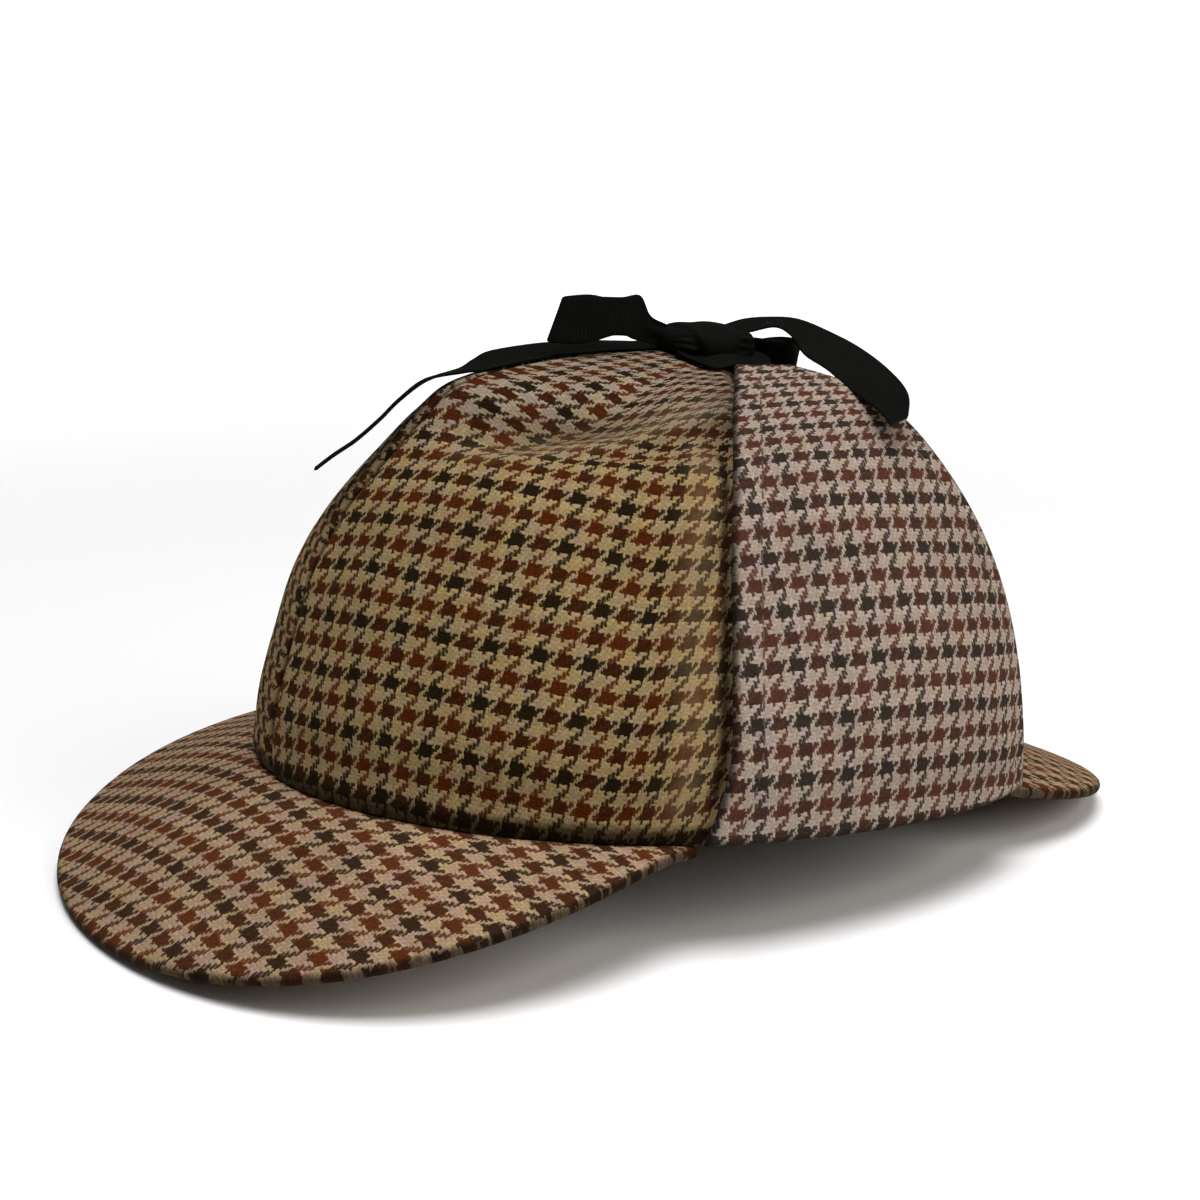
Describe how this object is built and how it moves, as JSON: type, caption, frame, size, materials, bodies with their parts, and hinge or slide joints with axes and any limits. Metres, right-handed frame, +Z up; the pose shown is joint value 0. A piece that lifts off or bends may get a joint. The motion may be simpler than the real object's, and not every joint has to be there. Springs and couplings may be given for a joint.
{
  "type": "deerstalker hat",
  "caption": "Tweed deerstalker hat with a rounded seamed crown, drooping front and rear brims, turned-up ear flaps and a ribbon bow on top, standing on its brims.",
  "frame": {"origin": "middle of the bounding box at the floor on which the brims stand", "axes": "-Y towards the front brim, +X towards the wearer's left, +Z up"},
  "size_m": [0.1856, 0.2862, 0.1411],
  "materials": {
    "houndstooth_tweed": "woven wool tweed with a houndstooth check",
    "black_ribbon": "ribbed black ribbon"
  },
  "bodies": {
    "root": {"crown_panel_front_left": "houndstooth_tweed", "crown_panel_front_right": "houndstooth_tweed", "crown_panel_rear_left": "houndstooth_tweed", "crown_panel_rear_right": "houndstooth_tweed", "front_brim": "houndstooth_tweed", "rear_brim": "houndstooth_tweed", "ear_flap_left": "houndstooth_tweed", "ear_flap_right": "houndstooth_tweed", "ribbon_tie_left": "black_ribbon", "ribbon_tie_right": "black_ribbon", "ribbon_knot": "black_ribbon", "ribbon_loop_front": "black_ribbon", "ribbon_loop_rear": "black_ribbon", "ribbon_tail_front": "black_ribbon", "ribbon_tail_rear": "black_ribbon"}
  },
  "joints": []
}
